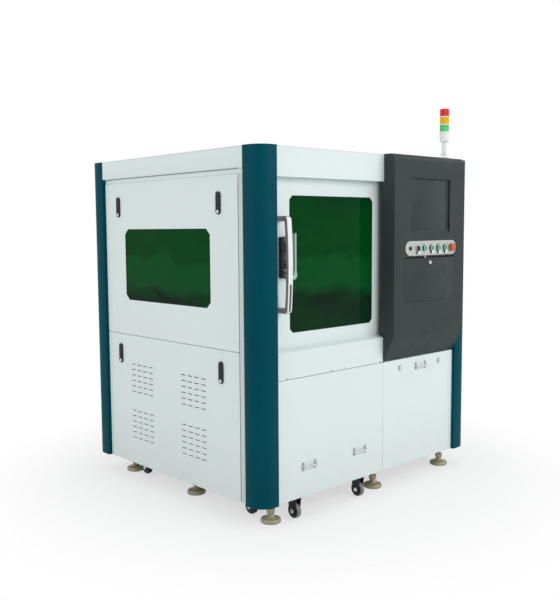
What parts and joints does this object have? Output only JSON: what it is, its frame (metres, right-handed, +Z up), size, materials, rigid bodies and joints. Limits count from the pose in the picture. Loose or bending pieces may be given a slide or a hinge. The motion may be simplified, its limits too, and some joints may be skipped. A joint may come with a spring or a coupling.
{
  "type": "laser cutting machine",
  "caption": "Enclosed laser cutting machine with a sliding windowed door, console, tower light, lift-off covers, scrap cart and an inner gantry with a cutting head.",
  "frame": {"origin": "on the floor under the middle of the machine's box", "axes": "+X to the right along the front, +Y to the back (the front faces -Y), +Z up"},
  "size_m": [1.636, 1.498, 2.035],
  "materials": {
    "white_paint": "fine satin powder coat",
    "teal_paint": "satin powder coat",
    "console_paint": "fine textured powder coat",
    "grey_paint": "satin powder coat",
    "foot_metal": "zinc-yellow plated, dull",
    "black_steel": "gloss black",
    "bare_steel": "ground",
    "gantry_aluminium": "clear anodised",
    "head_anodised": "black anodised",
    "green_glass": "laser safety window, clear dark green",
    "black_plastic": "moulded",
    "plate_metal": "brushed",
    "red_plastic": "moulded",
    "green_plastic": "moulded, translucent",
    "tower_plastic": "moulded",
    "green_lens": "ribbed translucent",
    "amber_lens": "ribbed translucent",
    "red_lens": "ribbed translucent",
    "chrome": "polished",
    "grey_rubber": "tread on a dark hub"
  },
  "bodies": {
    "machine": {"base_frame": "white_paint", "levelling_feet": "foot_metal", "caster_forks": "black_steel", "corner_columns": "teal_paint", "roof_cover": "white_paint", "right_side_panels": "white_paint", "rear_panel": "white_paint", "front_sill": "white_paint", "work_bed": "grey_paint", "cutting_slats": "bare_steel", "y_rails": "bare_steel", "laser_source": "grey_paint", "console_shell": "console_paint", "monitor": "console_paint", "button_plate": "plate_metal", "tower_base": "tower_plastic", "lens_green": "green_lens", "lens_amber": "amber_lens", "lens_red": "red_lens"},
    "door": {"door_panel": "white_paint", "door_window": "green_glass", "door_handle": "white_paint", "door_interlock": "black_plastic"},
    "left_upper_cover": {"left_upper_panel": "white_paint", "left_window": "green_glass", "upper_latch_bases": "black_plastic"},
    "left_lower_cover": {"left_lower_panel": "white_paint", "lower_latch_bases": "black_plastic"},
    "right_cover": {"right_front_cover": "white_paint", "cover_handle": "chrome"},
    "cart": {"cart_front": "white_paint", "cart_bin": "grey_paint", "cart_handles": "chrome", "cart_forks": "black_steel"},
    "flap": {"keyboard_flap": "console_paint", "keyboard": "black_plastic"},
    "gantry": {"gantry_beam": "gantry_aluminium"},
    "carriage": {"carriage": "gantry_aluminium"},
    "head": {"cutting_head": "head_anodised"},
    "upper_front_lever": {"upper_front_lever": "black_plastic"},
    "upper_rear_lever": {"upper_rear_lever": "black_plastic"},
    "lower_front_lever": {"lower_front_lever": "black_plastic"},
    "lower_rear_lever": {"lower_rear_lever": "black_plastic"},
    "cover_lock_left": {"cover_lock_left": "chrome"},
    "cover_lock_right": {"cover_lock_right": "chrome"},
    "cart_wheel_front_left": {"cart_wheel_front_left": "grey_rubber"},
    "cart_wheel_front_right": {"cart_wheel_front_right": "grey_rubber"},
    "cart_wheel_rear_left": {"cart_wheel_rear_left": "grey_rubber"},
    "cart_wheel_rear_right": {"cart_wheel_rear_right": "grey_rubber"},
    "caster_wheel_front_left": {"caster_wheel_front_left": "grey_rubber"},
    "caster_wheel_front_right": {"caster_wheel_front_right": "grey_rubber"},
    "caster_wheel_rear_left": {"caster_wheel_rear_left": "grey_rubber"},
    "caster_wheel_rear_right": {"caster_wheel_rear_right": "grey_rubber"},
    "key_switch": {"key_switch": "black_plastic"},
    "selector_switch": {"selector_switch": "black_plastic"},
    "estop_button": {"estop_button": "red_plastic"},
    "green_button_1": {"green_button_1": "green_plastic"},
    "green_button_2": {"green_button_2": "green_plastic"},
    "green_button_3": {"green_button_3": "green_plastic"},
    "green_button_4": {"green_button_4": "green_plastic"}
  },
  "joints": [
    {"name": "door_slide", "type": "slide", "parent": "machine", "child": "door", "axis": [1, 0, 0], "range_m": [0, 0.6]},
    {"name": "left_upper_lift_off", "type": "slide", "parent": "machine", "child": "left_upper_cover", "axis": [-1, 0, 0], "range_m": [0, 0.3]},
    {"name": "left_lower_lift_off", "type": "slide", "parent": "machine", "child": "left_lower_cover", "axis": [-1, 0, 0], "range_m": [0, 0.3]},
    {"name": "right_cover_lift_off", "type": "slide", "parent": "machine", "child": "right_cover", "axis": [0, -1, 0], "range_m": [0, 0.3]},
    {"name": "cart_pull_out", "type": "slide", "parent": "machine", "child": "cart", "axis": [0, -1, 0], "range_m": [0, 0.85]},
    {"name": "upper_front_lever_tilt", "type": "hinge", "parent": "left_upper_cover", "child": "upper_front_lever", "pos_m": [-0.805, -0.369, 1.546], "axis": [0, 1, 0], "range_deg": [0, 35]},
    {"name": "upper_rear_lever_tilt", "type": "hinge", "parent": "left_upper_cover", "child": "upper_rear_lever", "pos_m": [-0.805, 0.482, 1.546], "axis": [0, 1, 0], "range_deg": [0, 35]},
    {"name": "lower_front_lever_tilt", "type": "hinge", "parent": "left_lower_cover", "child": "lower_front_lever", "pos_m": [-0.805, -0.374, 0.747], "axis": [0, 1, 0], "range_deg": [0, 35]},
    {"name": "lower_rear_lever_tilt", "type": "hinge", "parent": "left_lower_cover", "child": "lower_rear_lever", "pos_m": [-0.805, 0.488, 0.747], "axis": [0, 1, 0], "range_deg": [0, 35]},
    {"name": "cover_lock_left_turn", "type": "hinge", "parent": "right_cover", "child": "cover_lock_left", "pos_m": [0.208, -0.649, 0.636], "axis": [0, 1, 0], "range_deg": [0, 90]},
    {"name": "cover_lock_right_turn", "type": "hinge", "parent": "right_cover", "child": "cover_lock_right", "pos_m": [0.556, -0.649, 0.636], "axis": [0, 1, 0], "range_deg": [0, 90]},
    {"name": "cart_wheel_front_left_spin", "type": "hinge", "parent": "cart", "child": "cart_wheel_front_left", "pos_m": [-0.555, -0.614, 0.036], "axis": [1, 0, 0], "continuous": true},
    {"name": "cart_wheel_front_right_spin", "type": "hinge", "parent": "cart", "child": "cart_wheel_front_right", "pos_m": [-0.093, -0.614, 0.036], "axis": [1, 0, 0], "continuous": true},
    {"name": "cart_wheel_rear_left_spin", "type": "hinge", "parent": "cart", "child": "cart_wheel_rear_left", "pos_m": [-0.555, 0.171, 0.036], "axis": [1, 0, 0], "continuous": true},
    {"name": "cart_wheel_rear_right_spin", "type": "hinge", "parent": "cart", "child": "cart_wheel_rear_right", "pos_m": [-0.093, 0.171, 0.036], "axis": [1, 0, 0], "continuous": true},
    {"name": "caster_wheel_front_left_spin", "type": "hinge", "parent": "machine", "child": "caster_wheel_front_left", "pos_m": [-0.675, -0.439, 0.041], "axis": [1, 0, 0], "continuous": true},
    {"name": "caster_wheel_front_right_spin", "type": "hinge", "parent": "machine", "child": "caster_wheel_front_right", "pos_m": [0.675, -0.439, 0.041], "axis": [1, 0, 0], "continuous": true},
    {"name": "caster_wheel_rear_left_spin", "type": "hinge", "parent": "machine", "child": "caster_wheel_rear_left", "pos_m": [-0.675, 0.446, 0.041], "axis": [1, 0, 0], "continuous": true},
    {"name": "caster_wheel_rear_right_spin", "type": "hinge", "parent": "machine", "child": "caster_wheel_rear_right", "pos_m": [0.675, 0.446, 0.041], "axis": [1, 0, 0], "continuous": true},
    {"name": "flap_fold", "type": "hinge", "parent": "machine", "child": "flap", "pos_m": [0.369, -0.716, 0.992], "axis": [1, 0, 0], "range_deg": [0, 90]},
    {"name": "key_switch_turn", "type": "hinge", "parent": "machine", "child": "key_switch", "pos_m": [0.192, -0.721, 1.273], "axis": [0, 1, 0], "range_deg": [0, 90]},
    {"name": "selector_turn", "type": "hinge", "parent": "machine", "child": "selector_switch", "pos_m": [0.2532, -0.721, 1.273], "axis": [0, 1, 0], "range_deg": [-45, 45]},
    {"name": "green_button_1_press", "type": "slide", "parent": "machine", "child": "green_button_1", "axis": [0, 1, 0], "range_m": [0, 0.004], "stiffness_N_per_m": 400},
    {"name": "green_button_2_press", "type": "slide", "parent": "machine", "child": "green_button_2", "axis": [0, 1, 0], "range_m": [0, 0.004], "stiffness_N_per_m": 400},
    {"name": "green_button_3_press", "type": "slide", "parent": "machine", "child": "green_button_3", "axis": [0, 1, 0], "range_m": [0, 0.004], "stiffness_N_per_m": 400},
    {"name": "green_button_4_press", "type": "slide", "parent": "machine", "child": "green_button_4", "axis": [0, 1, 0], "range_m": [0, 0.004], "stiffness_N_per_m": 400},
    {"name": "estop_press", "type": "slide", "parent": "machine", "child": "estop_button", "axis": [0, 1, 0], "range_m": [0, 0.005], "stiffness_N_per_m": 600},
    {"name": "gantry_travel", "type": "slide", "parent": "machine", "child": "gantry", "axis": [0, 1, 0], "range_m": [-0.3, 0.3]},
    {"name": "carriage_travel", "type": "slide", "parent": "gantry", "child": "carriage", "axis": [1, 0, 0], "range_m": [-0.22, 0.22]},
    {"name": "head_travel", "type": "slide", "parent": "carriage", "child": "head", "axis": [0, 0, 1], "range_m": [-0.01, 0.12]}
  ]
}
